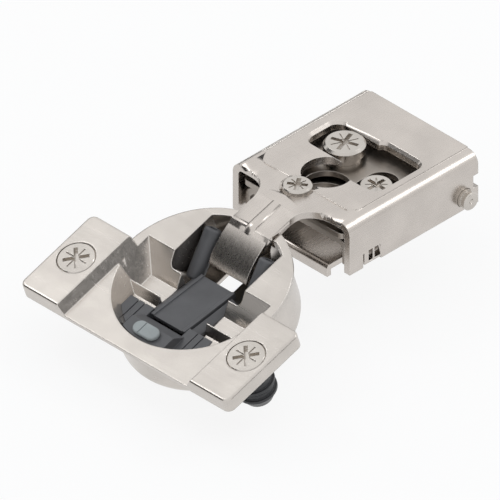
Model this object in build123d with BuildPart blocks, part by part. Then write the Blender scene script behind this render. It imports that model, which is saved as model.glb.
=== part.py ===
from build123d import *
import math
import os

# Concealed hinge for a face frame cabinet, with a soft-close damper, shown fully open.
# The frame plate stays with the cabinet. X runs along the hinge pin, +Y points away from
# the door and +Z up off the frame's edge. The origin is the fixing hole's centre, on the
# face that lies on the cabinet. All lengths are millimetres, all angles degrees.

# Fits
running = 0.05
gap = 0.3
edge_break = 0.25
fine_break = 0.15
near = 0.01

# Frame plate
plate_t = 1.2
plate_half = 10.4
plate_front = -9.4
plate_back = 16.2
plate_corner = 1.5
lip_t = 1.0
lip_drop = 1.4
lip_bend = 0.9
fixing_r = 2.3

# Arm, a folded channel with a gooseneck
arm_t = 1.5
arm_half = 15.5
arm_top = 12.0
arm_bottom = 1.0
arm_front = -9.5
arm_back = 24.5
arm_bend = 2.4
arm_room = 0.6
panel_half = 12.7
panel_rise = 0.25
panel_front = -5.9
panel_corner = 2.5
neck_half = 5.0
neck_arc = 5.5
neck_start = -12.5
neck_bend = (-20.2, 8.8)
neck_heel = (-21.5, 4.3)
neck_tip = (-25.4, 2.9)
neck_radii = [4.0, 1.5, 3.2]
bead_half = 1.15
bead_rise = 0.55
bead_back = -13.3
bead_end_z = 5.6
cheek_low = 0.4
cheek_run = 1.2
window_r = 5.0
arm_openings = [(-10.8, 3.0, 4.9, 13.6, 2.2), (-0.2, 10.8, 1.9, 14.5, 1.8)]
opening_lip = 0.6
wall_slots = [(-5.95, -5.6, -1.0, 4.1), (-4.5, -3.4, 1.9, 4.3), (-2.95, -1.4, 1.9, 4.3)]
wall_trim = (-5.6, -1.2, 1.5)
rear_notch = (2.6, 2.8)
rear_notch_z = 6.1

# Rear pin, about which the arm tilts
pin_y = 20.9
pin_z = 3.7
pin_r = 1.9
pin_stand = 1.9
groove_depth = 0.25
groove_half = 0.35
dimple_r = 0.6
dimple_deep = 0.4

# Depth plate, between the arm and the carrier
depth_t = 1.2
depth_bottom = 7.8
depth_front = -9.3
depth_corner = 1.5
depth_window_at = (-0.4, 0.2)
depth_window_in = 0.4
ear_t = 1.1
ear_outer = 11.9
ear_foot = 1.6
ear_front = 18.2
ear_back = 23.6
ear_corner = 1.0

# Carrier, an inverted channel that slides on the frame plate
carrier_t = 1.2
carrier_top = 6.8
carrier_front = -8.2
carrier_back = 24.0
carrier_deck_back = 16.4
carrier_foot = 1.5
carrier_bend = 2.2
carrier_window_y = -1.0

# Adjustments
height_range = 1.2
height_offset = 1.6
height_at = (6.2, 6.8)
height_head_r = 3.1
height_head_rise = 0.2
depth_range = 1.5
depth_offset = 2.2
depth_at = (-4.6, 9.2)
depth_head_r = 4.1
depth_head_rise = 0.15
depth_collar_t = 1.3
depth_collar_r = 3.4
depth_chamfer = 0.5
depth_cross_turn = 20.0
side_at = (-0.9, -7.0)
side_head_r = 2.9
side_head_t = 1.3
side_seat_r = 3.5
side_seat_depth = 1.0
side_thread_r = 1.3
side_neck_r = 1.5
side_flare = 0.45
side_flare_t = 0.5
side_cross_turn = 35.0
cam_pin_r = 1.0
cam_shank_r = 2.4
cam_slack = 0.1
cam_step = 0.4
cross_w = 0.85
cross_depth = 0.9
cross_share = 0.68
tick_w = 0.28
tick_depth = 0.3
post_r = 1.6
post_head = 0.9
post_head_t = 0.6
post_x = -8.0
post_ys = (-4.6, 13.6)

# Cup, in its own tilted frame: x along the pin, y towards the arm, z out of the cup
cup_y = -34.3
cup_z = 4.25
cup_tilt = 18.0
cup_r = 17.5
cup_depth = 12.2
cup_t = 0.9
cup_edge_r = 2.0
flange_r = 18.3
mouth_r = 16.7
wing_front = -20.2
wing_back = 0.3
wing_corner = 2.0
pad_inner = 16.2
pad_margin = 5.0
pad_top = 2.2
pad_slope = 1.4
pad_edge_r = 0.5
pad_corner = 1.5
pad_floor = 0.8
screw_x = 22.5
screw_y = -9.5
slot_corner = 1.0
slot_half = 9.3
slot_back = 15.4
slot_front = 1.2
neck_notch = 2.1
channel_half = 6.2
shelf_depth = 5.2
shelf_back = 3.4
shelf_back_low = -0.95
shelf_front = -5.0
mouth_front = -3.4
mouth_taper = 28.0
floor_window = (5.6, 5.0, 15.0)

# Hinge pin across the cup
hinge_at = (11.1, -6.5)
hinge_r = 1.25
hinge_half = 11.4
knuckle_r = 2.5
cheek_t = 1.2

# Dowels and their screws
dowel_r = 3.6
dowel_end = -9.4
dowel_head_r = 4.0
dowel_tip = 1.6
dowel_taper = 0.9
barb_rise = 0.4
barb_count = 3
screw_r = 1.9
screw_head_r = 3.8
screw_head_t = 1.9

# Damper
tube_x = 7.2
tube_r = 1.75
tube_bore_r = 0.8
tube_bore = 1.0
tube_edge = 0.5
tube_rod_share = 0.7
tube_top = (11.9, -0.9)
tube_foot = (4.1, -7.6)
slide_half = 4.4
slide_back = (4.2, -4.9)
slide_front = (-9.2, -2.9)
slide_t = 1.1
slide_travel = 5.0
slide_room = 0.35
slide_drop = 3.0
slide_end = -14.4
rail_wide = 0.7
rail_rise = 0.25
housing_half = 10.8
housing_back = -8.0
housing_low = -2.6
housing_top = -0.5
housing_front = -14.4
housing_bottom = -10.8
bridge_half = 5.4
bridge_ramp = (-10.2, -12.6)
rib_xs = (7.0, 8.6)
rib_wide = 0.25
rib_deep = 0.3
switch_half = 3.0
switch_wide = 1.5
switch_y = -14.3
switch_stand = 0.9
switch_edge = 0.3
switch_line_x = -0.9
switch_line_w = 0.2
switch_travel = 1.6
rod_r = 0.7
rod_z = -8.3
rod_back = 0.8
rod_end = -9.0
cylinder_r = 1.8
cylinder_back = -6.4
cylinder_front = -14.5

# Closing spring round the hinge pin
spring_r = 1.7
spring_wire = 0.4
spring_coils = 8

os.makedirs("parts", exist_ok=True)

# Frames that follow from the sizes
tilt = math.radians(cup_tilt)
side = Plane.YZ
front_of = Plane(origin=(0, 0, 0), x_dir=(1, 0, 0), z_dir=(0, -1, 0))
cup_face = Plane(
    origin=(0, cup_y, cup_z), x_dir=(1, 0, 0), z_dir=(0, -math.sin(tilt), math.cos(tilt))
)
cup_side = Plane(origin=cup_face.origin, x_dir=cup_face.y_dir, z_dir=(1, 0, 0))
cup_front = Plane(origin=cup_face.origin, x_dir=(1, 0, 0), z_dir=-cup_face.y_dir)
hinge_point = cup_side.from_local_coords(Vector(hinge_at[0], hinge_at[1], 0))
hinge_y = hinge_point.Y
hinge_z = hinge_point.Z
depth_top = depth_bottom + depth_t
carrier_half = arm_half - arm_t - arm_room
depth_half = carrier_half
pad_outer = screw_x + pad_margin
mouth_slope = math.tan(math.radians(mouth_taper))
neck_rise = (arm_top - arm_t / 2 - neck_bend[1]) / (neck_start - neck_bend[0])
bead_lift = arm_t / 2
bead_skin = arm_t / 4
print("hinge pin at", round(hinge_y, 3), round(hinge_z, 3))

# Frame plate: folded strip with a lip that hooks over the frame's front edge
with BuildPart() as frame_plate:
    with BuildSketch(Plane.XY):
        with Locations((0, (plate_front + plate_back) / 2)):
            RectangleRounded(2 * plate_half, plate_back - plate_front, plate_corner)
    extrude(amount=plate_t)
    with BuildSketch(side.offset(-plate_half)):
        with BuildLine():
            Polyline(
                (plate_front + 2 * plate_corner, plate_t),
                (plate_front - lip_t, plate_t),
                (plate_front - lip_t, -lip_drop),
                (plate_front, -lip_drop),
                (plate_front, 0),
                (plate_front + 2 * plate_corner, 0),
                close=True,
            )
        make_face()
    extrude(amount=2 * plate_half)
    lip_edge = frame_plate.edges().filter_by(Axis.X).sort_by(
        lambda e: (e.center() - Vector(0, plate_front - lip_t, plate_t)).length
    )[0]
    fillet(lip_edge, lip_bend)
    with BuildSketch(Plane.XY):
        Circle(fixing_r)
        with Locations((height_at[0], height_at[1] - height_offset + height_offset / 6)):
            SlotOverall(2 * cam_pin_r + height_offset, 2 * (cam_pin_r + cam_slack), rotation=90)
        for post_y in post_ys:
            with Locations((post_x, post_y)):
                Circle(post_r)
    extrude(amount=plate_t, mode=Mode.SUBTRACT)
frame_plate.part.label = "frame_plate"
export_step(frame_plate.part, "parts/frame_plate.step")

# Guide posts: shouldered rivets that hold the carrier down and let it slide along X
post_shoulder = carrier_top + cam_slack
with BuildPart() as guide_posts:
    with BuildSketch(Plane.XY):
        for post_y in post_ys:
            with Locations((post_x, post_y)):
                Circle(post_r)
    extrude(amount=post_shoulder)
    with BuildSketch(Plane.XY.offset(post_shoulder)):
        for post_y in post_ys:
            with Locations((post_x, post_y)):
                Circle(post_r + post_head)
    extrude(amount=post_head_t)
guide_posts.part.label = "guide_posts"
export_step(guide_posts.part, "parts/guide_posts.step")

# Carrier: inverted channel with turned-out toes, slotted for the posts and the rear pin
with BuildPart() as carrier:
    with BuildSketch(front_of.offset(-carrier_back)):
        with BuildLine():
            Polyline(
                (-carrier_half, carrier_foot),
                (-carrier_half, carrier_top),
                (carrier_half, carrier_top),
                (carrier_half, carrier_foot),
                (carrier_half - carrier_t, carrier_foot),
                (carrier_half - carrier_t, carrier_top - carrier_t),
                (-carrier_half + carrier_t, carrier_top - carrier_t),
                (-carrier_half + carrier_t, carrier_foot),
                close=True,
            )
        make_face()
    extrude(amount=carrier_back - carrier_front)
    fillet(
        carrier.edges().filter_by(Axis.Y).filter_by_position(Axis.Z, carrier_top - near, carrier_top + near),
        carrier_bend,
    )
    fillet(
        carrier.edges().filter_by(Axis.Y).filter_by_position(
            Axis.Z, carrier_top - carrier_t - near, carrier_top - carrier_t + near
        ),
        carrier_bend - carrier_t,
    )
    with BuildSketch(Plane.XY.offset(carrier_top)):
        with Locations((0, carrier_back)):
            Rectangle(2 * (carrier_half - carrier_t + near), 2 * (carrier_back - carrier_deck_back))
        with Locations((height_at[0], height_at[1])):
            Circle(cam_shank_r + running)
        with Locations((depth_at[0] - depth_offset + depth_offset / 6, depth_at[1])):
            SlotOverall(2 * cam_pin_r + depth_offset, 2 * (cam_pin_r + cam_slack))
        for post_y in post_ys:
            with Locations((post_x, post_y)):
                SlotOverall(2 * (post_r + height_range + cam_slack), 2 * (post_r + running))
        with Locations((0, carrier_window_y)):
            Circle(window_r)
    extrude(amount=-carrier_t - carrier_bend, mode=Mode.SUBTRACT)
    with BuildSketch(side.offset(-carrier_half)):
        with Locations((pin_y, pin_z)):
            SlotOverall(2 * (pin_r + depth_range + cam_slack), 2 * (pin_r + running))
    extrude(amount=2 * carrier_half, mode=Mode.SUBTRACT)
carrier.part.label = "carrier"
export_step(carrier.part, "parts/carrier.step")

# Depth plate: flat plate under the arm, with two ears that hold the rear pin
with BuildPart() as depth_plate:
    with BuildSketch(Plane.XY.offset(depth_bottom)):
        with Locations((0, (depth_front + ear_front) / 2)):
            RectangleRounded(2 * depth_half, ear_front - depth_front, depth_corner)
        with Locations((0, ear_front)):
            Rectangle(2 * ear_outer, 2 * (ear_back - ear_front))
    extrude(amount=depth_t)
    with BuildSketch(side.offset(-ear_outer)):
        with Locations(((ear_front + ear_back) / 2, (ear_foot + depth_top) / 2)):
            RectangleRounded(ear_back - ear_front, depth_top - ear_foot, ear_corner)
    extrude(amount=2 * ear_outer)
    with BuildSketch(side.offset(-ear_outer + ear_t)):
        with Locations(((ear_front + ear_back) / 2, 0)):
            Rectangle(2 * (ear_back - ear_front), 2 * depth_bottom)
    extrude(amount=2 * (ear_outer - ear_t), mode=Mode.SUBTRACT)
    with BuildSketch(side.offset(-ear_outer)):
        with Locations((pin_y, pin_z)):
            Circle(pin_r)
    extrude(amount=2 * ear_outer, mode=Mode.SUBTRACT)
    with BuildSketch(Plane.XY.offset(depth_bottom)):
        with Locations(depth_at):
            Circle(cam_shank_r + running)
        with Locations(height_at):
            SlotOverall(
                2 * (height_head_r + depth_range + cam_slack), 2 * (height_head_r + cam_slack), rotation=90
            )
        with Locations(side_at):
            Circle(side_thread_r + 2 * cam_slack)
        with Locations(depth_window_at):
            Circle(window_r - depth_window_in)
    extrude(amount=depth_t, mode=Mode.SUBTRACT)
depth_plate.part.label = "depth_plate"
export_step(depth_plate.part, "parts/depth_plate.step")

# Rear pin: knurled ends stand out of the arm's walls
with BuildPart() as rear_pin:
    with BuildSketch(side.offset(-arm_half - pin_stand)):
        with Locations((pin_y, pin_z)):
            Circle(pin_r)
    extrude(amount=2 * (arm_half + pin_stand))
    chamfer(rear_pin.edges().filter_by(GeomType.CIRCLE), edge_break)
    for groove_x in (-arm_half - pin_stand / 2, arm_half + pin_stand / 2):
        with BuildSketch(side.offset(groove_x - groove_half)):
            with Locations((pin_y, pin_z)):
                Circle(2 * pin_r)
                Circle(pin_r - groove_depth, mode=Mode.SUBTRACT)
        extrude(amount=2 * groove_half, mode=Mode.SUBTRACT)
    for pin_side in (-1, 1):
        with BuildSketch(side.offset(pin_side * (arm_half + pin_stand))):
            with Locations((pin_y, pin_z)):
                Circle(dimple_r)
        extrude(amount=-pin_side * dimple_deep, taper=40, mode=Mode.SUBTRACT)
rear_pin.part.label = "rear_pin"
export_step(rear_pin.part, "parts/rear_pin.step")

# Arm: folded channel, then a sloping neck that bends down into a scooped gooseneck
with BuildPart() as gooseneck:
    with BuildSketch(side.offset(-arm_half)):
        with BuildLine():
            FilletPolyline(
                (arm_front + 2 * arm_t, arm_top - arm_t / 2),
                (neck_start, arm_top - arm_t / 2),
                neck_bend,
                neck_heel,
                neck_tip,
                radius=neck_radii,
            )
        trace(line_width=arm_t)
    extrude(amount=2 * arm_half)
    with BuildSketch(Plane.XY.offset(-arm_top)):
        with BuildLine():
            right_arc = CenterArc((neck_half + neck_arc, arm_front - neck_arc), neck_arc, 90, 90)
            left_arc = CenterArc((-neck_half - neck_arc, arm_front - neck_arc), neck_arc, 0, 90)
            Line(right_arc @ 1, (neck_half, cup_y))
            Line((neck_half, cup_y), (-neck_half, cup_y))
            Line((-neck_half, cup_y), left_arc @ 0)
            Polyline(
                left_arc @ 1,
                (-arm_half, arm_front),
                (-arm_half, 0),
                (arm_half, 0),
                (arm_half, arm_front),
                right_arc @ 0,
            )
        make_face()
    extrude(amount=3 * arm_top, mode=Mode.INTERSECT)
    for cheek_x in (-neck_half, neck_half - cheek_t):
        with BuildSketch(side.offset(cheek_x)):
            with Locations((hinge_y, hinge_z)):
                Circle(knuckle_r)
            with BuildLine():
                Polyline(
                    (neck_bend[0], neck_bend[1] - cheek_low),
                    neck_heel,
                    (neck_tip[0] + cheek_run, neck_tip[1]),
                    (hinge_y - knuckle_r + cheek_low / 2, hinge_z - cheek_low),
                    (hinge_y + knuckle_r - cheek_low / 2, hinge_z - cheek_low),
                    close=True,
                )
            make_face()
            with Locations((hinge_y, hinge_z)):
                Circle(hinge_r + running, mode=Mode.SUBTRACT)
        extrude(amount=cheek_t)

with BuildPart() as arm:
    with BuildSketch(front_of.offset(-arm_back)):
        with BuildLine():
            Polyline(
                (-arm_half, arm_bottom),
                (-arm_half, arm_top),
                (arm_half, arm_top),
                (arm_half, arm_bottom),
                (arm_half - arm_t, arm_bottom),
                (arm_half - arm_t, arm_top - arm_t),
                (-arm_half + arm_t, arm_top - arm_t),
                (-arm_half + arm_t, arm_bottom),
                close=True,
            )
        make_face()
    extrude(amount=arm_back - arm_front)
    fillet(
        arm.edges().filter_by(Axis.Y).filter_by_position(Axis.Z, arm_top - near, arm_top + near),
        arm_bend,
    )
    fillet(
        arm.edges().filter_by(Axis.Y).filter_by_position(
            Axis.Z, arm_top - arm_t - near, arm_top - arm_t + near
        ),
        arm_bend - arm_t,
    )
    with BuildSketch(Plane.XY.offset(arm_top)):
        with Locations((0, (panel_front + arm_back + 2 * panel_corner) / 2)):
            RectangleRounded(2 * panel_half, arm_back + 2 * panel_corner - panel_front, panel_corner)
        with Locations((0, arm_back + 2 * panel_corner)):
            Rectangle(2 * arm_half, 4 * panel_corner, mode=Mode.SUBTRACT)
    extrude(amount=panel_rise)
    add(gooseneck.part)
    with BuildLine(side):
        bead_path = FilletPolyline(
            (bead_back, neck_bend[1] + (bead_back - neck_bend[0]) * neck_rise + bead_lift),
            (neck_bend[0] - bead_skin, neck_bend[1] + bead_lift),
            (neck_heel[0] - bead_skin, bead_end_z),
            radius=neck_radii[1] + bead_lift,
        )
    with BuildSketch(Plane(origin=bead_path @ 0, x_dir=(1, 0, 0), z_dir=bead_path % 0)):
        Ellipse(bead_half, bead_rise)
    sweep(path=bead_path)
    for left, right, low, high, corner in arm_openings:
        with BuildSketch(Plane.XY.offset(arm_top + panel_rise)):
            with Locations(((left + right) / 2, (low + high) / 2)):
                RectangleRounded(right - left, high - low, corner)
        extrude(amount=-arm_t - panel_rise, mode=Mode.SUBTRACT)
        with BuildSketch(Plane.XY.offset(arm_top + panel_rise)):
            with Locations(((left + right) / 2, (low + high) / 2)):
                RectangleRounded(
                    right - left + 2 * opening_lip, high - low + 2 * opening_lip, corner + opening_lip
                )
        extrude(amount=-opening_lip, taper=45, mode=Mode.SUBTRACT)
    with BuildSketch(Plane.XY.offset(arm_top + panel_rise)):
        Circle(window_r)
    extrude(amount=-arm_t - panel_rise, mode=Mode.SUBTRACT)
    with BuildSketch(Plane.XY.offset(arm_top + panel_rise)):
        with Locations(side_at):
            Circle(side_seat_r)
    extrude(amount=-side_seat_depth, mode=Mode.SUBTRACT)
    with BuildSketch(Plane.XY.offset(arm_top + panel_rise)):
        with Locations(side_at):
            Circle(side_neck_r + running)
    extrude(amount=-arm_t - panel_rise, mode=Mode.SUBTRACT)
    with BuildSketch(side.offset(-arm_half)):
        with Locations((pin_y, pin_z)):
            Circle(pin_r + running)
        with Locations((arm_back, rear_notch_z)):
            Rectangle(*rear_notch)
        for slot_near, slot_far, slot_low, slot_high in wall_slots:
            with Locations(((slot_near + slot_far) / 2, (slot_low + slot_high) / 2)):
                Rectangle(slot_far - slot_near, slot_high - slot_low)
        with Locations(((wall_trim[0] + wall_trim[1]) / 2, wall_trim[2] - arm_t)):
            Rectangle(wall_trim[1] - wall_trim[0], 2 * arm_t)
    extrude(amount=2 * arm_half, mode=Mode.SUBTRACT)
arm.part.label = "arm"
export_step(arm.part, "parts/arm.step")

# Height cam: its eccentric pin pushes on the frame plate's slot and shifts the carrier
height_collar_top = depth_top + height_head_rise
with BuildPart() as height_cam:
    with BuildSketch(Plane.XY.offset(carrier_top + cam_slack)):
        with Locations(height_at):
            Circle(height_head_r)
    extrude(amount=height_collar_top - carrier_top - cam_slack)
    with BuildSketch(Plane.XY.offset(carrier_top - carrier_t - cam_step)):
        with Locations(height_at):
            Circle(cam_shank_r)
    extrude(amount=carrier_t + cam_step + cam_slack)
    with BuildSketch(Plane.XY.offset(plate_t / 3)):
        with Locations((height_at[0], height_at[1] - height_offset)):
            Circle(cam_pin_r)
    extrude(amount=carrier_top - carrier_t - cam_step - plate_t / 3)
    chamfer(height_cam.faces().sort_by(Axis.Z)[-1].edges(), fine_break)
    with BuildSketch(Plane.XY.offset(height_collar_top)):
        with Locations(height_at):
            Rectangle(2 * cross_share * height_head_r, cross_w)
            Rectangle(cross_w, 2 * cross_share * height_head_r)
    extrude(amount=-cross_depth, mode=Mode.SUBTRACT)
    with BuildSketch(Plane.XY.offset(height_collar_top)):
        with Locations(height_at):
            Rectangle(2 * cross_share * height_head_r, tick_w, rotation=45)
            Rectangle(tick_w, 2 * cross_share * height_head_r, rotation=45)
    extrude(amount=-tick_depth, mode=Mode.SUBTRACT)
height_cam.part.label = "height_cam"
export_step(height_cam.part, "parts/height_cam.step")

# Depth cam: sits in the depth plate, its eccentric pin runs in the carrier's cross slot
depth_head_low = depth_top + depth_collar_t
depth_head_top = arm_top + panel_rise + depth_head_rise
with BuildPart() as depth_cam:
    with BuildSketch(Plane.XY.offset(depth_top)):
        with Locations(depth_at):
            Circle(depth_collar_r)
    extrude(amount=depth_head_low - depth_top)
    with BuildSketch(Plane.XY.offset(depth_head_low)):
        with Locations(depth_at):
            Circle(depth_head_r)
    extrude(amount=depth_head_top - depth_head_low)
    chamfer(depth_cam.faces().sort_by(Axis.Z)[-1].edges(), depth_chamfer)
    with BuildSketch(Plane.XY.offset(depth_bottom - cam_step / 2)):
        with Locations(depth_at):
            Circle(cam_shank_r)
    extrude(amount=depth_t + cam_step / 2)
    with BuildSketch(Plane.XY.offset(carrier_top - carrier_t)):
        with Locations((depth_at[0] - depth_offset, depth_at[1])):
            Circle(cam_pin_r)
    extrude(amount=depth_bottom - cam_step / 2 - carrier_top + carrier_t)
    with BuildSketch(Plane.XY.offset(depth_head_top)):
        with Locations(depth_at):
            Rectangle(2 * cross_share * depth_head_r, cross_w, rotation=depth_cross_turn)
            Rectangle(cross_w, 2 * cross_share * depth_head_r, rotation=depth_cross_turn)
    extrude(amount=-cross_depth, mode=Mode.SUBTRACT)
    with BuildSketch(Plane.XY.offset(depth_head_top)):
        with Locations(depth_at):
            Rectangle(2 * cross_share * depth_head_r, tick_w, rotation=depth_cross_turn + 45)
            Rectangle(tick_w, 2 * cross_share * depth_head_r, rotation=depth_cross_turn + 45)
    extrude(amount=-tick_depth, mode=Mode.SUBTRACT)
depth_cam.part.label = "depth_cam"
export_step(depth_cam.part, "parts/depth_cam.step")

# Side screw: captured in the arm, threaded into the depth plate, so it lifts the arm's front
side_seat = arm_top + panel_rise - side_seat_depth + cam_slack / 2
with BuildPart() as side_screw:
    with BuildSketch(Plane.XY.offset(side_seat)):
        with Locations(side_at):
            Circle(side_head_r)
    extrude(amount=side_head_t)
    chamfer(side_screw.faces().sort_by(Axis.Z)[-1].edges(), edge_break)
    with BuildSketch(Plane.XY.offset(arm_top - arm_t - cam_slack / 2)):
        with Locations(side_at):
            Circle(side_neck_r)
    extrude(amount=side_seat - arm_top + arm_t + cam_slack / 2)
    with BuildSketch(Plane.XY.offset(arm_top - arm_t - cam_slack / 2)):
        with Locations(side_at):
            Circle(side_neck_r + side_flare)
    extrude(amount=-side_flare_t)
    with BuildSketch(Plane.XY.offset(depth_bottom)):
        with Locations(side_at):
            Circle(side_thread_r)
    extrude(amount=arm_top - arm_t - depth_bottom - gap)
    with BuildSketch(Plane.XY.offset(side_seat + side_head_t)):
        with Locations(side_at):
            Rectangle(2 * cross_share * side_head_r, cross_w, rotation=side_cross_turn)
            Rectangle(cross_w, 2 * cross_share * side_head_r, rotation=side_cross_turn)
    extrude(amount=-cross_depth, mode=Mode.SUBTRACT)
    with BuildSketch(Plane.XY.offset(side_seat + side_head_t)):
        with Locations(side_at):
            Rectangle(2 * cross_share * side_head_r, tick_w, rotation=side_cross_turn + 45)
            Rectangle(tick_w, 2 * cross_share * side_head_r, rotation=side_cross_turn + 45)
    extrude(amount=-tick_depth, mode=Mode.SUBTRACT)
side_screw.part.label = "side_screw"
export_step(side_screw.part, "parts/side_screw.step")

# Cup: one cast and pressed boss with a flange, two raised pads and a stepped well
cup_floor = -cup_depth + cup_t
with BuildPart() as cup:
    with BuildSketch(cup_face):
        Circle(flange_r)
        with Locations((0, (wing_front + wing_back) / 2)):
            RectangleRounded(2 * pad_outer, wing_back - wing_front, wing_corner)
    extrude(amount=-cup_t)
    with BuildSketch(cup_face):
        Circle(cup_r)
    extrude(amount=-cup_depth)
    fillet(cup.faces().sort_by(Axis(origin=cup_face.origin, direction=cup_face.z_dir))[0].edges(), cup_edge_r)
    for pad_side in (-1, 1):
        with BuildSketch(cup_front.offset(-wing_back)):
            with BuildLine():
                Polyline(
                    (pad_side * pad_inner, -cup_t),
                    (pad_side * pad_inner, 0),
                    (pad_side * (pad_inner + pad_slope), pad_top),
                    (pad_side * pad_outer, pad_top),
                    (pad_side * pad_outer, -cup_t),
                    close=True,
                )
            make_face()
        extrude(amount=wing_back - wing_front)
    pad_corners = cup.edges().filter_by(
        lambda e: e.geom_type == GeomType.LINE
        and abs(cup_face.to_local_coords(e.center()).X) > pad_outer - near
        and abs((e % 0).dot(cup_face.z_dir)) > 1 - near
    )
    fillet(pad_corners, pad_corner)
    pad_rims = cup.edges().filter_by(
        lambda e: cup_face.to_local_coords(e.center()).Z > pad_top - near
        and abs(cup_face.to_local_coords(e.center()).X) > pad_inner + pad_slope + near
    )
    fillet(pad_rims, pad_edge_r)
    with BuildSketch(cup_face):
        Circle(mouth_r)
        with Locations((0, mouth_front + mouth_r)):
            Rectangle(3 * mouth_r, 2 * mouth_r, mode=Mode.SUBTRACT)
    extrude(amount=-shelf_depth, taper=mouth_taper, mode=Mode.SUBTRACT)
    shelf_in = pad_slope / pad_top * shelf_depth
    with BuildSketch(cup_front.offset(-shelf_back)):
        with BuildLine():
            Polyline(
                (-pad_inner, 0),
                (pad_inner, 0),
                (pad_inner - shelf_in, -shelf_depth),
                (shelf_in - pad_inner, -shelf_depth),
                close=True,
            )
        make_face()
    extrude(amount=shelf_back - shelf_front, mode=Mode.SUBTRACT)
    with BuildSketch(cup_side.offset(-pad_inner)):
        with BuildLine():
            Polyline(
                (shelf_back, 0),
                (shelf_back, -shelf_depth),
                (shelf_back_low, -shelf_depth),
                close=True,
            )
        make_face()
    extrude(amount=2 * pad_inner)
    with BuildSketch(cup_face):
        Circle(cup_r - cup_t)
        with Locations((0, (slot_front - cup_r) / 2)):
            Rectangle(2 * channel_half, slot_front + cup_r, mode=Mode.INTERSECT)
    extrude(amount=cup_floor, mode=Mode.SUBTRACT)
    with BuildSketch(cup_face):
        with Locations((0, (slot_front + slot_back) / 2)):
            RectangleRounded(2 * slot_half, slot_back - slot_front, slot_corner)
        Circle(cup_r - cup_t, mode=Mode.INTERSECT)
    extrude(amount=cup_floor, mode=Mode.SUBTRACT)
    with BuildSketch(cup_face.offset(cup_floor)):
        with Locations((0, (floor_window[1] + floor_window[2]) / 2)):
            RectangleRounded(2 * floor_window[0], floor_window[2] - floor_window[1], slot_corner)
    extrude(amount=-2 * cup_t, mode=Mode.SUBTRACT)
    with BuildSketch(cup_face):
        with Locations((0, flange_r)):
            Rectangle(2 * (neck_half + gap), 2 * (flange_r - slot_back + slot_corner))
    extrude(amount=-neck_notch, mode=Mode.SUBTRACT)
    with BuildSketch(cup_side.offset(-hinge_half)):
        with Locations(hinge_at):
            Circle(hinge_r)
    extrude(amount=2 * hinge_half, mode=Mode.SUBTRACT)
    for pad_side in (-1, 1):
        with BuildSketch(cup_face.offset(-cup_t)):
            with Locations((pad_side * screw_x, screw_y)):
                Circle(dowel_head_r)
        extrude(amount=cup_t + pad_top - pad_floor, mode=Mode.SUBTRACT)
        with BuildSketch(cup_face.offset(pad_top)):
            with Locations((pad_side * screw_x, screw_y)):
                Circle(screw_head_r + running)
        extrude(amount=-pad_floor, mode=Mode.SUBTRACT)
cup.part.label = "cup"
export_step(cup.part, "parts/cup.step")

# Hinge pin: the one axle of the door's swing, pressed into the cup
with BuildPart() as hinge_pin:
    with BuildSketch(cup_side.offset(-hinge_half)):
        with Locations(hinge_at):
            Circle(hinge_r)
    extrude(amount=2 * hinge_half)
    chamfer(hinge_pin.edges().filter_by(GeomType.CIRCLE), fine_break)
hinge_pin.part.label = "hinge_pin"
export_step(hinge_pin.part, "parts/hinge_pin.step")

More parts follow.
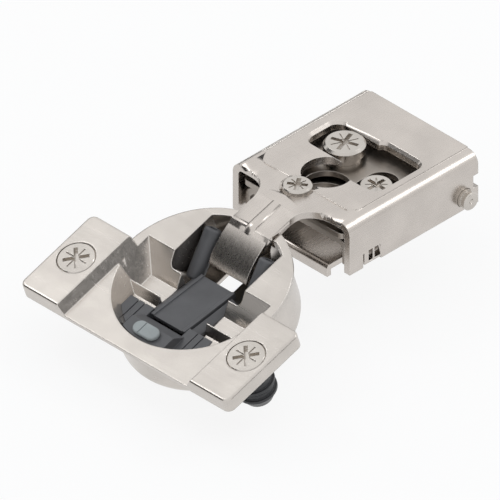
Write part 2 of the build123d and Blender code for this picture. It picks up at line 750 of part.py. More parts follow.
# Dowels: ribbed plastic sleeves that the screws spread in the door
dowel_head_top = pad_top - pad_floor
head_seat = pad_top - screw_head_t
for pad_side, word in ((-1, "left"), (1, "right")):
    dowel_origin = cup_face.from_local_coords(Vector(pad_side * screw_x, screw_y, 0))
    dowel_axis = Axis(origin=dowel_origin, direction=cup_face.z_dir)
    dowel_section = Plane(origin=dowel_origin, x_dir=(1, 0, 0), z_dir=-cup_face.y_dir)
    barb_pitch = (-dowel_end - cup_t - dowel_tip) / barb_count
    with BuildPart() as dowel:
        with BuildSketch(dowel_section):
            with BuildLine():
                outline = [(0, dowel_head_top), (dowel_head_r, dowel_head_top), (dowel_head_r, -cup_t)]
                outline.append((dowel_r, -cup_t))
                for barb in range(barb_count):
                    barb_low = -cup_t - (barb + 1) * barb_pitch
                    outline.append((dowel_r, barb_low + barb_pitch / 2 + barb_rise / 3))
                    outline.append((dowel_r + barb_rise, barb_low + barb_pitch / 2))
                    outline.append((dowel_r + barb_rise, barb_low + barb_pitch / 4))
                    outline.append((dowel_r, barb_low))
                outline.append((dowel_r - dowel_taper, dowel_end))
                outline.append((0, dowel_end))
                Polyline(*outline, close=True)
            make_face()
        revolve(axis=dowel_axis)
        with BuildSketch(cup_face.offset(dowel_head_top)):
            with Locations((pad_side * screw_x, screw_y)):
                Circle(screw_head_r + running)
        extrude(amount=-dowel_head_top + head_seat, mode=Mode.SUBTRACT)
        with BuildSketch(cup_face.offset(dowel_head_top)):
            with Locations((pad_side * screw_x, screw_y)):
                Circle(screw_r)
        extrude(amount=-dowel_head_top + dowel_end + dowel_tip, mode=Mode.SUBTRACT)
    dowel.part.label = f"dowel_{word}"
    export_step(dowel.part, f"parts/dowel_{word}.step")

    with BuildPart() as dowel_screw:
        with BuildSketch(cup_face.offset(pad_top)):
            with Locations((pad_side * screw_x, screw_y)):
                Circle(screw_head_r)
        extrude(amount=-screw_head_t)
        chamfer(dowel_screw.faces().sort_by(Axis.Z)[-1].edges(), edge_break)
        with BuildSketch(cup_face.offset(head_seat)):
            with Locations((pad_side * screw_x, screw_y)):
                Circle(screw_r)
        extrude(amount=dowel_end + dowel_tip - head_seat)
        with BuildSketch(cup_face.offset(pad_top)):
            with Locations((pad_side * screw_x, screw_y)):
                Rectangle(2 * cross_share * screw_head_r, cross_w, rotation=45)
                Rectangle(cross_w, 2 * cross_share * screw_head_r, rotation=45)
        extrude(amount=-cross_depth, mode=Mode.SUBTRACT)
        with BuildSketch(cup_face.offset(pad_top)):
            with Locations((pad_side * screw_x, screw_y)):
                Rectangle(2 * cross_share * screw_head_r, tick_w)
                Rectangle(tick_w, 2 * cross_share * screw_head_r)
        extrude(amount=-tick_depth, mode=Mode.SUBTRACT)
    dowel_screw.part.label = f"dowel_screw_{word}"
    export_step(dowel_screw.part, f"parts/dowel_screw_{word}.step")

# Damper tubes: round plastic housings of the two dampers, one each side of the gooseneck
tube_run = math.hypot(tube_foot[0] - tube_top[0], tube_foot[1] - tube_top[1])
for tube_side, word in ((-1, "left"), (1, "right")):
    top_point = cup_side.from_local_coords(Vector(tube_top[0], tube_top[1], tube_side * tube_x))
    foot_point = cup_side.from_local_coords(Vector(tube_foot[0], tube_foot[1], tube_side * tube_x))
    tube_plane = Plane(origin=top_point, x_dir=(1, 0, 0), z_dir=foot_point - top_point)
    with BuildPart() as damper_tube:
        with BuildSketch(tube_plane):
            Circle(tube_r)
        extrude(amount=tube_run)
        fillet(damper_tube.edges().filter_by(GeomType.CIRCLE), tube_edge)
        with BuildSketch(tube_plane):
            Circle(tube_bore_r)
        extrude(amount=tube_bore, mode=Mode.SUBTRACT)
        with BuildSketch(tube_plane.offset(tube_run)):
            Circle(rod_r + running)
        extrude(amount=-tube_rod_share * tube_run, mode=Mode.SUBTRACT)
    damper_tube.part.label = f"damper_tube_{word}"
    export_step(damper_tube.part, f"parts/damper_tube_{word}.step")

# Damper housing: plastic body in the front of the well, with a bridge that carries the switch
with BuildPart() as damper_housing:
    with BuildSketch(cup_face.offset(housing_low)):
        Circle(mouth_r + housing_low * mouth_slope - running)
        with Locations((0, housing_back - mouth_r)):
            Rectangle(2 * housing_half, 2 * mouth_r, mode=Mode.INTERSECT)
    extrude(amount=-shelf_depth - housing_low + running, taper=mouth_taper)
    with BuildSketch(cup_face.offset(housing_low)):
        with Locations((0, (housing_back + housing_front) / 2)):
            Rectangle(2 * (channel_half - running), housing_back - housing_front)
    extrude(amount=housing_bottom - housing_low)
    with BuildSketch(cup_side.offset(-bridge_half)):
        with BuildLine():
            Polyline(
                (bridge_ramp[0], housing_low),
                (bridge_ramp[1], housing_top),
                (-mouth_r, housing_top),
                (-mouth_r, housing_low),
                close=True,
            )
        make_face()
    extrude(amount=2 * bridge_half)
    with BuildSketch(cup_face):
        Circle(mouth_r - running)
    extrude(amount=-shelf_depth, taper=mouth_taper, mode=Mode.INTERSECT)
    with BuildSketch(cup_face.offset(housing_low)):
        with Locations((0, (housing_back + housing_front) / 2)):
            Rectangle(2 * (channel_half - running), housing_back - housing_front)
    extrude(amount=housing_bottom - housing_low)
    with BuildSketch(cup_face.offset(housing_low)):
        for rib_x in rib_xs:
            for rib_side in (-1, 1):
                with Locations((rib_side * rib_x, housing_back - mouth_r / 2)):
                    Rectangle(rib_wide, mouth_r)
    extrude(amount=-rib_deep, mode=Mode.SUBTRACT)
    with BuildSketch(cup_face.offset(slide_front[1] + slide_room)):
        with Locations((0, housing_back)):
            Rectangle(2 * (slide_half + gap), 2 * (housing_back - slide_end))
    extrude(amount=-slide_t - slide_room - slide_drop, mode=Mode.SUBTRACT)
    with BuildSketch(cup_front.offset(-cylinder_back)):
        with Locations((0, rod_z)):
            Circle(cylinder_r)
    extrude(amount=cylinder_back - cylinder_front, mode=Mode.SUBTRACT)
damper_housing.part.label = "damper_housing"
export_step(damper_housing.part, "parts/damper_housing.step")

# Damper slide: flat plastic tongue that the gooseneck pushes towards the cup's front
rod_y = slide_back[0] - rod_back
with BuildPart() as damper_slide:
    with BuildSketch(cup_side.offset(-slide_half)):
        with BuildLine():
            Polyline(
                slide_back,
                slide_front,
                (slide_front[0], slide_front[1] - slide_t),
                (slide_back[0], slide_back[1] - slide_t),
                close=True,
            )
        make_face()
    extrude(amount=2 * slide_half)
    for rail_x in (-slide_half, slide_half - rail_wide):
        with BuildSketch(cup_side.offset(rail_x)):
            with BuildLine():
                Polyline(
                    slide_back,
                    slide_front,
                    (slide_front[0], slide_front[1] + rail_rise),
                    (slide_back[0], slide_back[1] + rail_rise),
                    close=True,
                )
            make_face()
        extrude(amount=rail_wide)
    with BuildSketch(cup_side.offset(-2 * rod_r)):
        with Locations((rod_y - slide_t / 2, (slide_back[1] + rod_z) / 2 - rod_r)):
            Rectangle(slide_t, slide_back[1] - rod_z + 2 * rod_r)
    extrude(amount=4 * rod_r)
damper_slide.part.label = "damper_slide"
export_step(damper_slide.part, "parts/damper_slide.step")

# Piston rod: pushed into the cylinder by the slide's tab
with BuildPart() as piston_rod:
    with BuildSketch(cup_front.offset(-rod_y + slide_t)):
        with Locations((0, rod_z)):
            Circle(rod_r)
    extrude(amount=rod_y - slide_t - rod_end)
    chamfer(piston_rod.edges().filter_by(GeomType.CIRCLE), fine_break)
piston_rod.part.label = "piston_rod"
export_step(piston_rod.part, "parts/piston_rod.step")

# Damper cylinder: steel barrel in the housing that the piston rod enters
with BuildPart() as damper_cylinder:
    with BuildSketch(cup_front.offset(-cylinder_back)):
        with Locations((0, rod_z)):
            Circle(cylinder_r)
    extrude(amount=cylinder_back - cylinder_front)
    chamfer(damper_cylinder.edges().filter_by(GeomType.CIRCLE), edge_break)
    with BuildSketch(cup_front.offset(-cylinder_back)):
        with Locations((0, rod_z)):
            Circle(rod_r + running)
    extrude(amount=cylinder_back - rod_end + slide_travel + cam_slack, mode=Mode.SUBTRACT)
damper_cylinder.part.label = "damper_cylinder"
export_step(damper_cylinder.part, "parts/damper_cylinder.step")

# Closing spring: wound round the hinge pin between the gooseneck's cheeks
spring_half = neck_half - cheek_t - gap
coil_pitch = 2 * spring_half / spring_coils
with BuildPart() as closing_spring:
    with BuildSketch(Plane(origin=hinge_point, x_dir=(1, 0, 0), z_dir=(0, -1, 0))):
        with BuildLine():
            coil_line = [(-spring_half, hinge_r + running)]
            for coil in range(spring_coils):
                coil_start = -spring_half + coil * coil_pitch
                coil_line.append((coil_start, spring_r - spring_wire / 2))
                coil_line.append((coil_start + coil_pitch / 3, spring_r))
                coil_line.append((coil_start + 2 * coil_pitch / 3, spring_r))
            coil_line.append((spring_half, spring_r - spring_wire / 2))
            coil_line.append((spring_half, hinge_r + running))
            Polyline(*coil_line, close=True)
        make_face()
    revolve(axis=Axis(origin=hinge_point, direction=(1, 0, 0)))
closing_spring.part.label = "closing_spring"
export_step(closing_spring.part, "parts/closing_spring.step")

# Damper switch: small sliding key that turns the damping off
with BuildPart() as damper_switch:
    with BuildSketch(cup_face.offset(housing_top + running)):
        with Locations((0, switch_y)):
            SlotOverall(2 * switch_half, 2 * switch_wide)
    extrude(amount=switch_stand)
    fillet(damper_switch.faces().sort_by(Axis.Z)[-1].edges(), switch_edge)
    with BuildSketch(cup_face.offset(housing_top + running + switch_stand)):
        with Locations((switch_line_x, switch_y)):
            Rectangle(switch_line_w, 3 * switch_wide)
    extrude(amount=-switch_line_w, mode=Mode.SUBTRACT)
damper_switch.part.label = "damper_switch"
export_step(damper_switch.part, "parts/damper_switch.step")
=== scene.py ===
import math

import bmesh
import bpy
from mathutils import Matrix, Vector


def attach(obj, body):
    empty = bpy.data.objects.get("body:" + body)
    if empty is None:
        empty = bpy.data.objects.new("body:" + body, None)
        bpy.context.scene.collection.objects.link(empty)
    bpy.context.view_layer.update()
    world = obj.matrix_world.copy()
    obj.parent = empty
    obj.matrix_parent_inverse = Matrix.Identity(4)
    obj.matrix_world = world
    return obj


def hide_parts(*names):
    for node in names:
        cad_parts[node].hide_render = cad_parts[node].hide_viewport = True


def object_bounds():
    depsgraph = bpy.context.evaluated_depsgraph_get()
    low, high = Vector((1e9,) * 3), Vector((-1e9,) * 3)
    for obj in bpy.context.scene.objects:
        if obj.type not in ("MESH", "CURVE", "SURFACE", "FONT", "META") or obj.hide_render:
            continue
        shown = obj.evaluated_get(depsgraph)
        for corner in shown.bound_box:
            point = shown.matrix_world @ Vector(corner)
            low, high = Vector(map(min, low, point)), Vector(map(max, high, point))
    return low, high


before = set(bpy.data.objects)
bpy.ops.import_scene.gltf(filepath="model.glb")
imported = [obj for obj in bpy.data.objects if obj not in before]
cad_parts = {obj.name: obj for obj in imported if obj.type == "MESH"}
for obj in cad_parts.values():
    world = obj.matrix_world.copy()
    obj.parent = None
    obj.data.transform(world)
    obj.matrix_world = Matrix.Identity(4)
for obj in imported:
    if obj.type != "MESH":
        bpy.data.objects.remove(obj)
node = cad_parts
cad_low, cad_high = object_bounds()


# Frame plate and its two guide posts: the strip that is screwed to the cabinet's face frame,
# punched and folded from 1.2 mm steel and nickel plated, with the posts riveted into it.
def plated_steel(name, colour, sheen_colour, grain, roughness, soft_edge):
    """Nickel plating on rolled sheet: fine lines along one axis, faint clouds, and edges painted
    brighter as a painted highlight.
    """
    plating = bpy.data.materials.new(name)
    plating.use_nodes = True
    tree = plating.node_tree
    link = tree.links.new
    shader = tree.nodes["Principled BSDF"]
    shader.inputs["Metallic"].default_value = 1.0
    place = tree.nodes.new("ShaderNodeTexCoord")

    stretched = tree.nodes.new("ShaderNodeMapping")
    stretched.inputs["Scale"].default_value = grain
    link(place.outputs["Object"], stretched.inputs["Vector"])
    lines = tree.nodes.new("ShaderNodeTexNoise")
    lines.inputs["Scale"].default_value = 1.0
    lines.inputs["Detail"].default_value = 4.0
    lines.inputs["Roughness"].default_value = 0.65
    link(stretched.outputs["Vector"], lines.inputs["Vector"])

    clouds = tree.nodes.new("ShaderNodeTexNoise")
    clouds.inputs["Scale"].default_value = 140.0
    clouds.inputs["Detail"].default_value = 3.0
    link(place.outputs["Object"], clouds.inputs["Vector"])

    rounded = tree.nodes.new("ShaderNodeBevel")
    rounded.samples = 6
    rounded.inputs["Radius"].default_value = soft_edge
    flat = tree.nodes.new("ShaderNodeNewGeometry")
    along = tree.nodes.new("ShaderNodeVectorMath")
    along.operation = "DOT_PRODUCT"
    link(rounded.outputs["Normal"], along.inputs[0])
    link(flat.outputs["Normal"], along.inputs[1])
    edge = tree.nodes.new("ShaderNodeMapRange")
    edge.inputs["From Min"].default_value = 0.99
    edge.inputs["From Max"].default_value = 0.80
    edge.inputs["To Min"].default_value = 0.0
    edge.inputs["To Max"].default_value = 0.7
    link(along.outputs["Value"], edge.inputs["Value"])

    tone = tree.nodes.new("ShaderNodeValToRGB")
    tone.color_ramp.elements[0].position = 0.35
    tone.color_ramp.elements[0].color = (*[c * 0.90 for c in colour], 1.0)
    tone.color_ramp.elements[1].position = 0.65
    tone.color_ramp.elements[1].color = (*colour, 1.0)
    link(clouds.outputs["Fac"], tone.inputs["Fac"])
    streak = tree.nodes.new("ShaderNodeMix")
    streak.data_type = "RGBA"
    streak.blend_type = "MULTIPLY"
    streak.inputs["Factor"].default_value = 0.05
    link(tone.outputs["Color"], streak.inputs["A"])
    link(lines.outputs["Fac"], streak.inputs["B"])
    # Painted highlight: the sheen colour is mixed into the base colour along rounded edges and
    # bends.
    painted_edge_sheen = tree.nodes.new("ShaderNodeMix")
    painted_edge_sheen.data_type = "RGBA"
    painted_edge_sheen.inputs["B"].default_value = (*sheen_colour, 1.0)
    link(edge.outputs["Result"], painted_edge_sheen.inputs["Factor"])
    link(streak.outputs["Result"], painted_edge_sheen.inputs["A"])
    link(painted_edge_sheen.outputs["Result"], shader.inputs["Base Color"])

    gloss = tree.nodes.new("ShaderNodeMapRange")
    gloss.inputs["From Min"].default_value = 0.3
    gloss.inputs["From Max"].default_value = 0.7
    gloss.inputs["To Min"].default_value = roughness - 0.03
    gloss.inputs["To Max"].default_value = roughness + 0.03
    link(lines.outputs["Fac"], gloss.inputs["Value"])
    link(gloss.outputs["Result"], shader.inputs["Roughness"])

    relief = tree.nodes.new("ShaderNodeBump")
    relief.inputs["Strength"].default_value = 0.03
    relief.inputs["Distance"].default_value = 0.00001
    link(lines.outputs["Fac"], relief.inputs["Height"])
    link(rounded.outputs["Normal"], relief.inputs["Normal"])
    link(relief.outputs["Normal"], shader.inputs["Normal"])
    return plating


def finish_with(material, slot_name, *names):
    """The same finish on every named part. Its slot name is not used."""
    for name in names:
        part = node[name]
        part.data.materials.clear()
        part.data.materials.append(material)


nickel = (0.63, 0.585, 0.545)
# Painted highlight: the pale nickel that the plated finishes mix in along their rounded edges.
nickel_sheen = (0.80, 0.77, 0.73)
along_x = (40.0, 1300.0, 1300.0)
along_y = (1300.0, 40.0, 1300.0)
sheet_plating = plated_steel("sheet plating", nickel, nickel_sheen, along_y, 0.27, 0.00020)
finish_with(sheet_plating, "nickel_plate", "frame_plate")

# Screws, cams and pins: turned or cold headed steel with a brighter nickel plating,
# pressed, riveted or screwed into the sheet parts.
turned_plating = plated_steel(
    "turned plating", (0.60, 0.565, 0.525), nickel_sheen, (700.0, 700.0, 700.0), 0.22, 0.00012
)
finish_with(
    turned_plating, "screw_steel",
    "guide_posts", "height_cam", "depth_cam", "side_screw", "rear_pin", "hinge_pin",
    "dowel_screw_left", "dowel_screw_right", "piston_rod",
)

# Carrier and depth plate: a channel and a plate of the same folded nickel-plated sheet that
# lie one on the other under the arm. Their plating is set rougher than the arm's, and its
# colour is painted darker as painted shade for their place under the arm.
painted_shade_plating = plated_steel(
    "painted shade plating", (0.38, 0.345, 0.31), (0.60, 0.56, 0.52), along_y, 0.33, 0.00020
)
finish_with(painted_shade_plating, "nickel_plate", "carrier", "depth_plate")


# Arm: one pressed sheet of nickel-plated steel, folded at both sides, with a beaded neck and a
# gooseneck that carries the hinge pin. The press leaves both side bends round to the front edge,
# a scooped gooseneck, three fine lines along one fold and room for the depth cam's head.
def prism(name, outline, axis, low, high):
    """Closed prism: an outline in the other two axes, in mm, drawn along axis from low to high."""
    shape = bmesh.new()
    ends = []
    for along in (low, high):
        ring = []
        for a, b in outline:
            spot = {"X": (along, a, b), "Y": (a, along, b), "Z": (a, b, along)}[axis]
            ring.append(shape.verts.new([v / 1000 for v in spot]))
        ends.append(ring)
    shape.faces.new(ends[0])
    shape.faces.new(reversed(ends[1]))
    for i in range(len(outline)):
        k = (i + 1) % len(outline)
        shape.faces.new((ends[0][k], ends[0][i], ends[1][i], ends[1][k]))
    bmesh.ops.recalc_face_normals(shape, faces=shape.faces)
    mesh = bpy.data.meshes.new(name)
    shape.to_mesh(mesh)
    shape.free()
    made = bpy.data.objects.new(name, mesh)
    bpy.context.scene.collection.objects.link(made)
    return made


def carve(target, tools):
    """Adds or cuts each tool on the target's mesh, then removes the tools."""
    for operation, tool in tools:
        step = target.modifiers.new(tool.name, "BOOLEAN")
        step.operation = operation
        step.solver = "EXACT"
        step.object = tool
    ready = target.evaluated_get(bpy.context.evaluated_depsgraph_get())
    carved = bpy.data.meshes.new_from_object(ready)
    target.modifiers.clear()
    target.data = carved
    for operation, tool in tools:
        bpy.data.objects.remove(tool)
    carved.shade_smooth()
    carved.set_sharp_from_angle(angle=math.radians(28))
    even = target.modifiers.new("even flats", "WEIGHTED_NORMAL")
    even.keep_sharp = True
    even.weight = 100


sheet_copy = bmesh.new()
sheet_copy.from_mesh(node["arm"].data)
bmesh.ops.remove_doubles(sheet_copy, verts=sheet_copy.verts, dist=1e-6)
formed_mesh = bpy.data.meshes.new("arm_formed")
sheet_copy.to_mesh(formed_mesh)
sheet_copy.free()
arm_formed = bpy.data.objects.new("arm_formed", formed_mesh)
bpy.context.scene.collection.objects.link(arm_formed)

tools = []
bend_r = 2.4
bend_steps = 12
arm_side = 15.5
arm_top = 12.0
corner_over = 0.4
corner_from, corner_to = -9.8, -6.49
for side in (-1, 1):
    corner = [
        (side * (arm_side - bend_r), arm_top + corner_over),
        (side * (arm_side + corner_over), arm_top + corner_over),
        (side * (arm_side + corner_over), arm_top - bend_r),
    ]
    for i in range(bend_steps + 1):
        turn = math.radians(90 * i / bend_steps)
        corner.append((
            side * (arm_side - bend_r + bend_r * math.cos(turn)),
            arm_top - bend_r + bend_r * math.sin(turn),
        ))
    tools.append(("DIFFERENCE", prism("corner_cut", corner, "Y", corner_from, corner_to)))

neck_half = 4.92
apron = [
    Vector((-20.3, 9.5)), Vector((-21.6, 8.6)), Vector((-25.6, 5.6)), Vector((-26.5, 2.1)),
]
apron_steps = 20
scoop = [(-20.0, 8.6)]
for i in range(apron_steps + 1):
    t = i / apron_steps
    share = ((1 - t) ** 3, 3 * t * (1 - t) ** 2, 3 * t ** 2 * (1 - t), t ** 3)
    scoop.append((
        sum(part * point.x for part, point in zip(share, apron)),
        sum(part * point.y for part, point in zip(share, apron)),
    ))
scoop += [(-26.1, 2.0), (-25.0, 2.7), (-24.6, 3.1), (-21.4, 4.4)]
tools.append(("UNION", prism("scoop_fill", scoop, "X", -neck_half, neck_half)))

line_half = 0.07
line_high = 12.4
line_from, line_to = -3.4, 24.6
for line_x, line_z in ((-14.4, 11.52), (-13.95, 11.74), (-13.5, 11.87)):
    line = [
        (line_x - line_half, line_z), (line_x + line_half, line_z),
        (line_x + line_half, line_high), (line_x - line_half, line_high),
    ]
    tools.append(("DIFFERENCE", prism("fold_line", line, "Y", line_from, line_to)))

cam_at = (-4.6, 9.2)
cam_room_r = 4.36
cam_room_from, cam_room_to = 10.0, 12.6
cam_room = []
cam_room_steps = 72
for i in range(cam_room_steps):
    turn = math.radians(360 * i / cam_room_steps)
    cam_room.append((
        cam_at[0] + cam_room_r * math.cos(turn), cam_at[1] + cam_room_r * math.sin(turn),
    ))
tools.append(("DIFFERENCE", prism("cam_room", cam_room, "Z", cam_room_from, cam_room_to)))
carve(arm_formed, tools)
arm_formed.data.materials.clear()
arm_formed.data.materials.append(sheet_plating)
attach(arm_formed, "arm")
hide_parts("arm")

# Cup: one pressed and cast boss, nickel plated, with a finer and rounder surface than the sheet.
# It is pushed into the 35 mm hole in the door and held there by its two dowels.
cup_plating = plated_steel(
    "cup plating", (0.64, 0.60, 0.56), nickel_sheen, along_x, 0.25, 0.00035
)
finish_with(cup_plating, "cup_nickel", "cup")

# Closing spring and damper barrel: oiled spring steel, darker than the plated parts. The spring
# is wire, wound round the hinge pin in one layer, and the barrel stands in the damper housing.
spring_steel = plated_steel(
    "spring steel", (0.33, 0.32, 0.30), (0.5, 0.48, 0.46), (900.0, 900.0, 900.0), 0.30, 0.00008
)
finish_with(spring_steel, "spring_steel", "damper_cylinder")

coil_wire = 0.19
coil_mean = 1.50
coil_half = 3.30
coil_turns = 14
turn_steps = 24
hinge_at = (-21.735, 1.498)
coil_curve = bpy.data.curves.new("spring_coil", "CURVE")
coil_curve.dimensions = "3D"
coil_curve.bevel_depth = coil_wire / 1000
coil_curve.bevel_resolution = 3
coil_curve.use_fill_caps = True
coil_line = coil_curve.splines.new("POLY")
coil_steps = coil_turns * turn_steps
coil_line.points.add(coil_steps)
for i in range(coil_steps + 1):
    turn = 2 * math.pi * i / turn_steps
    coil_line.points[i].co = (
        (-coil_half + 2 * coil_half * i / coil_steps) / 1000,
        (hinge_at[0] + coil_mean * math.cos(turn)) / 1000,
        (hinge_at[1] + coil_mean * math.sin(turn)) / 1000,
        1.0,
    )
spring_coil = bpy.data.objects.new("spring_coil", coil_curve)
bpy.context.scene.collection.objects.link(spring_coil)
coil_curve.materials.append(spring_steel)
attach(spring_coil, "cup")
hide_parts("closing_spring")


# Dowels and damper: dark grey moulded nylon, satin, with the fine grain of an etched mould.
# The dowels are pushed into the cup's pads, and the damper parts are snapped into its well.
def moulded_plastic(name, colour, rim_sheen_colour, roughness):
    """Moulded plastic: fine etched grain, slight tone changes, and edges painted paler as a
    painted highlight.
    """
    plastic = bpy.data.materials.new(name)
    plastic.use_nodes = True
    tree = plastic.node_tree
    link = tree.links.new
    shader = tree.nodes["Principled BSDF"]
    place = tree.nodes.new("ShaderNodeTexCoord")
    etched = tree.nodes.new("ShaderNodeTexNoise")
    etched.inputs["Scale"].default_value = 5200.0
    etched.inputs["Detail"].default_value = 2.0
    link(place.outputs["Object"], etched.inputs["Vector"])
    flow = tree.nodes.new("ShaderNodeTexNoise")
    flow.inputs["Scale"].default_value = 230.0
    flow.inputs["Detail"].default_value = 3.0
    link(place.outputs["Object"], flow.inputs["Vector"])

    rounded = tree.nodes.new("ShaderNodeBevel")
    rounded.samples = 6
    rounded.inputs["Radius"].default_value = 0.00022
    flat = tree.nodes.new("ShaderNodeNewGeometry")
    along = tree.nodes.new("ShaderNodeVectorMath")
    along.operation = "DOT_PRODUCT"
    link(rounded.outputs["Normal"], along.inputs[0])
    link(flat.outputs["Normal"], along.inputs[1])
    edge = tree.nodes.new("ShaderNodeMapRange")
    edge.inputs["From Min"].default_value = 0.99
    edge.inputs["From Max"].default_value = 0.75
    edge.inputs["To Min"].default_value = 0.0
    edge.inputs["To Max"].default_value = 0.5
    link(along.outputs["Value"], edge.inputs["Value"])

    tone = tree.nodes.new("ShaderNodeValToRGB")
    tone.color_ramp.elements[0].position = 0.3
    tone.color_ramp.elements[0].color = (*[c * 0.85 for c in colour], 1.0)
    tone.color_ramp.elements[1].position = 0.7
    tone.color_ramp.elements[1].color = (*[c * 1.1 for c in colour], 1.0)
    link(flow.outputs["Fac"], tone.inputs["Fac"])
    # Painted highlight: the paler rim colour is mixed into the base colour along rounded edges.
    painted_rim_sheen = tree.nodes.new("ShaderNodeMix")
    painted_rim_sheen.data_type = "RGBA"
    painted_rim_sheen.inputs["B"].default_value = (*rim_sheen_colour, 1.0)
    link(edge.outputs["Result"], painted_rim_sheen.inputs["Factor"])
    link(tone.outputs["Color"], painted_rim_sheen.inputs["A"])
    link(painted_rim_sheen.outputs["Result"], shader.inputs["Base Color"])

    gloss = tree.nodes.new("ShaderNodeMapRange")
    gloss.inputs["To Min"].default_value = roughness - 0.05
    gloss.inputs["To Max"].default_value = roughness + 0.07
    link(flow.outputs["Fac"], gloss.inputs["Value"])
    link(gloss.outputs["Result"], shader.inputs["Roughness"])
    relief = tree.nodes.new("ShaderNodeBump")
    relief.inputs["Strength"].default_value = 0.18
    relief.inputs["Distance"].default_value = 0.00003
    link(etched.outputs["Fac"], relief.inputs["Height"])
    link(rounded.outputs["Normal"], relief.inputs["Normal"])
    link(relief.outputs["Normal"], shader.inputs["Normal"])
    return plastic


dark_nylon = moulded_plastic("dark nylon", (0.088, 0.089, 0.094), (0.17, 0.17, 0.18), 0.45)
finish_with(
    dark_nylon, "dark_plastic",
    "damper_tube_left", "damper_tube_right", "damper_housing", "damper_slide",
)
dowel_nylon = moulded_plastic("dowel nylon", (0.022, 0.023, 0.026), (0.07, 0.07, 0.08), 0.38)
finish_with(dowel_nylon, "dowel_plastic", "dowel_left", "dowel_right")

# Damper switch: a small light grey key of moulded nylon. It sits on the housing's bridge and
# slides along the hinge pin's axis.
grey_nylon = moulded_plastic("grey nylon", (0.30, 0.33, 0.33), (0.42, 0.45, 0.46), 0.40)
finish_with(grey_nylon, "switch_plastic", "damper_switch")


# Damper skirts and floor tongue: two ledges of the damper's dark nylon that run along the
# slide's edges, and a dark steel tongue across the right part of the cup's floor window, a dark
# sheet put there as painted shade for the shadowed bottom corner of the cup.
# Their sizes are in mm from the middle of the cup's mouth, which lies tipped by 18 degrees.
cup_lift = Matrix.Translation((0, -0.0343, 0.00425)) @ Matrix.Rotation(math.radians(18), 4, "X")


def slab(name, rings):
    """Closed mesh through a row of outlines that have the same number of points."""
    count = len(rings[0])
    faces = [list(range(count))[::-1], [count * (len(rings) - 1) + i for i in range(count)]]
    for level in range(len(rings) - 1):
        for i in range(count):
            step = level * count
            after = (i + 1) % count
            faces.append([step + i, step + after, step + count + after, step + count + i])
    mesh = bpy.data.meshes.new(name)
    mesh.from_pydata([[v / 1000 for v in point] for ring in rings for point in ring], [], faces)
    shell = bmesh.new()
    shell.from_mesh(mesh)
    bmesh.ops.recalc_face_normals(shell, faces=shell.faces)
    shell.to_mesh(mesh)
    shell.free()
    mesh.transform(cup_lift)
    made = bpy.data.objects.new(name, mesh)
    bpy.context.scene.collection.objects.link(made)
    return made


skirt_in = 4.72
skirt_out = 6.12
skirt_ends = ((-7.9, -3.30, -4.30, -5.00), (3.0, -4.90, -5.90, -6.40))
for side_name, side in (("left", -1), ("right", 1)):
    skirt = slab("damper_skirt_" + side_name, [
        [
            (side * skirt_in, at, inner_top), (side * skirt_out, at, outer_top),
            (side * skirt_out, at, bottom), (side * skirt_in, at, bottom),
        ]
        for at, inner_top, outer_top, bottom in skirt_ends
    ])
    skirt.data.materials.append(dark_nylon)
    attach(skirt, "cup")

tongue_left = -1.6
tongue_right = 5.58
tongue_front = 5.02
tongue_back = 14.9
tongue_r = 2.2
tongue_low, tongue_high = -12.1, -11.7
tongue_edge = [
    (tongue_right, tongue_front), (tongue_right, tongue_back), (tongue_left, tongue_back),
]
tongue_steps = 8
for i in range(tongue_steps + 1):
    turn = math.radians(180 + 90 * i / tongue_steps)
    tongue_edge.append((
        tongue_left + tongue_r + tongue_r * math.cos(turn),
        tongue_front + tongue_r + tongue_r * math.sin(turn),
    ))
shade_tongue = slab("painted_shade_floor_plate", [
    [(x, y, z) for x, y in tongue_edge] for z in (tongue_low, tongue_high)
])
# Painted shade: the tongue's dark steel stands for the shadow on the cup's bottom corner in the
# floor window.
shade_tongue.data.materials.append(spring_steel)
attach(shade_tongue, "cup")


# Studio: a pale floor just under the hinge, a plain white surround and two small square lamps.
# The surround and floor show white to the eye and in the plating, and the floor keeps a shadow.
def seen_directly(tree):
    """1 for rays from the eye, a mirror or glass, 0 for the light that falls on matt surfaces."""
    path = tree.nodes.new("ShaderNodeLightPath")
    either = tree.nodes.new("ShaderNodeMath")
    either.operation = "MAXIMUM"
    tree.links.new(path.outputs["Is Camera Ray"], either.inputs[0])
    tree.links.new(path.outputs["Is Glossy Ray"], either.inputs[1])
    any_of = tree.nodes.new("ShaderNodeMath")
    any_of.operation = "MAXIMUM"
    tree.links.new(either.outputs["Value"], any_of.inputs[0])
    tree.links.new(path.outputs["Is Transmission Ray"], any_of.inputs[1])
    return any_of.outputs["Value"]


floor_size = 1.2
floor_z = cad_low.z - 0.0004
bpy.ops.mesh.primitive_plane_add(size=floor_size, location=(0, 0, floor_z))
floor = bpy.context.object
floor.name = "studio_floor"
floor_white = bpy.data.materials.new("floor white")
floor_white.use_nodes = True
floor_tree = floor_white.node_tree
floor_shader = floor_tree.nodes["Principled BSDF"]
floor_shader.inputs["Base Color"].default_value = (0.92, 0.92, 0.92, 1)
floor_shader.inputs["Roughness"].default_value = 0.9
floor_glow = floor_tree.nodes.new("ShaderNodeEmission")
floor_glow.inputs["Color"].default_value = (1, 1, 1, 1)
floor_mix = floor_tree.nodes.new("ShaderNodeMixShader")
floor_share = floor_tree.nodes.new("ShaderNodeMath")
floor_share.operation = "MULTIPLY"
floor_share.inputs[1].default_value = 0.86
floor_tree.links.new(seen_directly(floor_tree), floor_share.inputs[0])
floor_tree.links.new(floor_share.outputs["Value"], floor_mix.inputs["Fac"])
floor_tree.links.new(floor_shader.outputs["BSDF"], floor_mix.inputs[1])
floor_tree.links.new(floor_glow.outputs["Emission"], floor_mix.inputs[2])
floor_out = floor_tree.nodes["Material Output"]
floor_tree.links.new(floor_mix.outputs["Shader"], floor_out.inputs["Surface"])
floor.data.materials.append(floor_white)

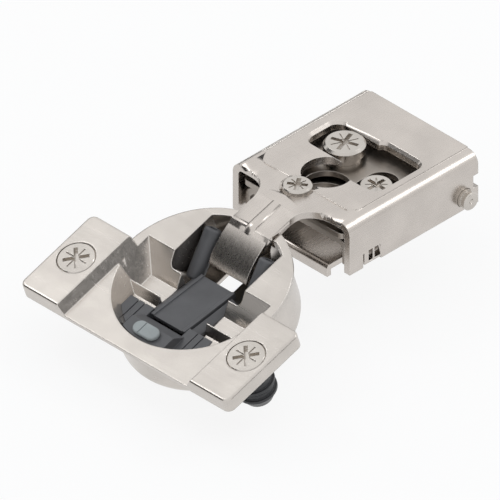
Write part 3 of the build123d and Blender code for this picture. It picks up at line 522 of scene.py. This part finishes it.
surround = bpy.data.worlds.new("surround")
bpy.context.scene.world = surround
surround.use_nodes = True
world_tree = surround.node_tree
soft_back = world_tree.nodes["Background"]
soft_back.inputs["Color"].default_value = (0.95, 0.97, 1.0, 1)
soft_back.inputs["Strength"].default_value = 0.85
white_back = world_tree.nodes.new("ShaderNodeBackground")
white_back.inputs["Color"].default_value = (1, 1, 1, 1)
white_back.inputs["Strength"].default_value = 1.0
world_mix = world_tree.nodes.new("ShaderNodeMixShader")
world_tree.links.new(seen_directly(world_tree), world_mix.inputs["Fac"])
world_tree.links.new(soft_back.outputs["Background"], world_mix.inputs[1])
world_tree.links.new(white_back.outputs["Background"], world_mix.inputs[2])
world_out = world_tree.nodes["World Output"]
world_tree.links.new(world_mix.outputs["Shader"], world_out.inputs["Surface"])

middle = Vector((-0.00835, -0.01209, -0.00373))
for lamp_name, offset, size, power in (
    ("back right lamp", (0.20, 0.30, 0.37), 0.14, 0.20),
    ("front left lamp", (-0.29, -0.085, 0.40), 0.11, 0.16),
):
    lamp_data = bpy.data.lights.new(lamp_name, "AREA")
    lamp_data.shape = "SQUARE"
    lamp_data.size = size
    lamp_data.energy = power
    lamp = bpy.data.objects.new(lamp_name, lamp_data)
    bpy.context.scene.collection.objects.link(lamp)
    lamp.location = middle + Vector(offset)
    lamp.rotation_mode = "QUATERNION"
    lamp.rotation_quaternion = Vector(offset).to_track_quat("Z", "Y")

# Dark screens: matt black boards that stand beside the table, out of the picture, so that the
# plated slopes and bends have something dark to mirror.
screen_black = bpy.data.materials.new("screen black")
screen_black.use_nodes = True
screen_shader = screen_black.node_tree.nodes["Principled BSDF"]
screen_shader.inputs["Base Color"].default_value = (0.03, 0.03, 0.03, 1)
screen_shader.inputs["Roughness"].default_value = 1.0
for screen_name, offset, size in (
    ("right_screen", (0.38, 0.12, 0.13), (0.16, 0.14)),
    ("front_screen", (-0.27, -0.34, 0.20), (0.46, 0.40)),
    ("left_screen", (-0.42, 0.10, 0.08), (0.30, 0.16)),
    ("back_left_screen", (-0.15, 0.11, 0.00), (0.14, 0.07)),
):
    bpy.ops.mesh.primitive_plane_add(size=1.0, location=middle + Vector(offset))
    screen = bpy.context.object
    screen.name = screen_name
    screen.scale = (*size, 1.0)
    screen.rotation_mode = "QUATERNION"
    screen.rotation_quaternion = Vector((offset[0], offset[1], 0)).to_track_quat("Z", "Y")
    screen.visible_camera = False
    screen.visible_diffuse = False
    screen.visible_shadow = False
    screen.data.materials.append(screen_black)

# Camera: square-on projection from the front right, 35.26 degrees above the floor.
view_azimuth = math.radians(45.0)
view_height = math.radians(35.264)
toward_eye = Vector((
    math.sin(view_azimuth) * math.cos(view_height),
    -math.cos(view_azimuth) * math.cos(view_height),
    math.sin(view_height),
))
camera_data = bpy.data.cameras.new("camera")
camera_data.type = "ORTHO"
camera_data.ortho_scale = 0.09362
camera = bpy.data.objects.new("camera", camera_data)
bpy.context.scene.collection.objects.link(camera)
camera.location = middle + toward_eye * 0.5
camera.rotation_mode = "QUATERNION"
camera.rotation_quaternion = toward_eye.to_track_quat("Z", "Y")
bpy.context.scene.camera = camera
bpy.context.scene.view_settings.view_transform = "Standard"
